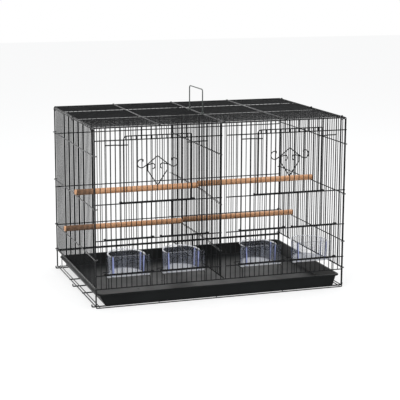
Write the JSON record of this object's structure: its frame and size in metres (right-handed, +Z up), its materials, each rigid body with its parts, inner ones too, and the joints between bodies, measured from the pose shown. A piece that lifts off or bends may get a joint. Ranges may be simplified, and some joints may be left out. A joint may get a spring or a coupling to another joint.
{
  "type": "bird cage",
  "caption": "Rectangular wire cage for small birds, halved by a draw-out divider, with doors that slide up, clear feed cups, wooden perches, a pull-out tray and a carry handle.",
  "frame": {"origin": "on the floor plane under the middle of the cage, on the underside of the base frame's middle wire", "axes": "+Z up, +X to the right along the front, -Y out of the front where the doors are"},
  "size_m": [0.627, 0.4145, 0.4712],
  "materials": {
    "black_wire": "black enamel, semi-gloss",
    "handle_wire": "greyish green, satin",
    "black_tray": "moulded black plastic",
    "clear_cup": "clear plastic with a faint violet tint",
    "perch_wood": "bare turned wood"
  },
  "bodies": {
    "cage": {"front_panel": "black_wire", "back_panel": "black_wire", "left_panel": "black_wire", "right_panel": "black_wire", "top_panel": "black_wire", "base_frame": "black_wire", "door_guide_left_a": "black_wire", "door_guide_left_b": "black_wire", "door_guide_right_a": "black_wire", "door_guide_right_b": "black_wire", "cup_shelf_1": "black_wire", "cup_shelf_2": "black_wire", "cup_shelf_3": "black_wire", "cup_shelf_4": "black_wire"},
    "main_door_left_body": {"main_door_left": "black_wire", "catch_left": "black_wire", "scroll_left": "black_wire"},
    "main_door_right_body": {"main_door_right": "black_wire", "catch_right": "black_wire", "scroll_right": "black_wire"},
    "feeder_door_1_body": {"feeder_door_1": "black_wire"},
    "feeder_door_2_body": {"feeder_door_2": "black_wire"},
    "feeder_door_3_body": {"feeder_door_3": "black_wire"},
    "feeder_door_4_body": {"feeder_door_4": "black_wire"},
    "cup_1_body": {"cup_1": "clear_cup"},
    "cup_2_body": {"cup_2": "clear_cup"},
    "cup_3_body": {"cup_3": "clear_cup"},
    "cup_4_body": {"cup_4": "clear_cup"},
    "perch_upper_left_body": {"perch_upper_left": "perch_wood"},
    "perch_lower_left_body": {"perch_lower_left": "perch_wood"},
    "perch_upper_right_body": {"perch_upper_right": "perch_wood"},
    "perch_lower_right_body": {"perch_lower_right": "perch_wood"},
    "tray_body": {"tray": "black_tray"},
    "divider_body": {"divider": "black_wire"},
    "carry_handle_body": {"carry_handle": "handle_wire"}
  },
  "joints": [
    {"name": "main_door_left_slide", "type": "slide", "parent": "cage", "child": "main_door_left_body", "axis": [0, 0, 1], "range_m": [0, 0.122]},
    {"name": "main_door_right_slide", "type": "slide", "parent": "cage", "child": "main_door_right_body", "axis": [0, 0, 1], "range_m": [0, 0.122]},
    {"name": "feeder_door_1_slide", "type": "slide", "parent": "cage", "child": "feeder_door_1_body", "axis": [0, 0, 1], "range_m": [0, 0.07]},
    {"name": "feeder_door_2_slide", "type": "slide", "parent": "cage", "child": "feeder_door_2_body", "axis": [0, 0, 1], "range_m": [0, 0.07]},
    {"name": "feeder_door_3_slide", "type": "slide", "parent": "cage", "child": "feeder_door_3_body", "axis": [0, 0, 1], "range_m": [0, 0.07]},
    {"name": "feeder_door_4_slide", "type": "slide", "parent": "cage", "child": "feeder_door_4_body", "axis": [0, 0, 1], "range_m": [0, 0.07]},
    {"name": "cup_1_lift", "type": "slide", "parent": "cage", "child": "cup_1_body", "axis": [0, 0, 1], "range_m": [0, 0.017]},
    {"name": "cup_2_lift", "type": "slide", "parent": "cage", "child": "cup_2_body", "axis": [0, 0, 1], "range_m": [0, 0.017]},
    {"name": "cup_3_lift", "type": "slide", "parent": "cage", "child": "cup_3_body", "axis": [0, 0, 1], "range_m": [0, 0.017]},
    {"name": "cup_4_lift", "type": "slide", "parent": "cage", "child": "cup_4_body", "axis": [0, 0, 1], "range_m": [0, 0.017]},
    {"name": "perch_upper_left_lift", "type": "slide", "parent": "cage", "child": "perch_upper_left_body", "axis": [0, 0, 1], "range_m": [0, 0.09]},
    {"name": "perch_lower_left_lift", "type": "slide", "parent": "cage", "child": "perch_lower_left_body", "axis": [0, 0, 1], "range_m": [0, 0.09]},
    {"name": "perch_upper_right_lift", "type": "slide", "parent": "cage", "child": "perch_upper_right_body", "axis": [0, 0, 1], "range_m": [0, 0.09]},
    {"name": "perch_lower_right_lift", "type": "slide", "parent": "cage", "child": "perch_lower_right_body", "axis": [0, 0, 1], "range_m": [0, 0.09]},
    {"name": "tray_slide", "type": "slide", "parent": "cage", "child": "tray_body", "axis": [0, -1, 0], "range_m": [0, 0.35]},
    {"name": "divider_slide", "type": "slide", "parent": "cage", "child": "divider_body", "axis": [0, -1, 0], "range_m": [0, 0.38]},
    {"name": "carry_handle_hinge", "type": "hinge", "parent": "cage", "child": "carry_handle_body", "pos_m": [0, 0, 0.4114], "axis": [0, 1, 0], "range_deg": [-88, 88]}
  ]
}
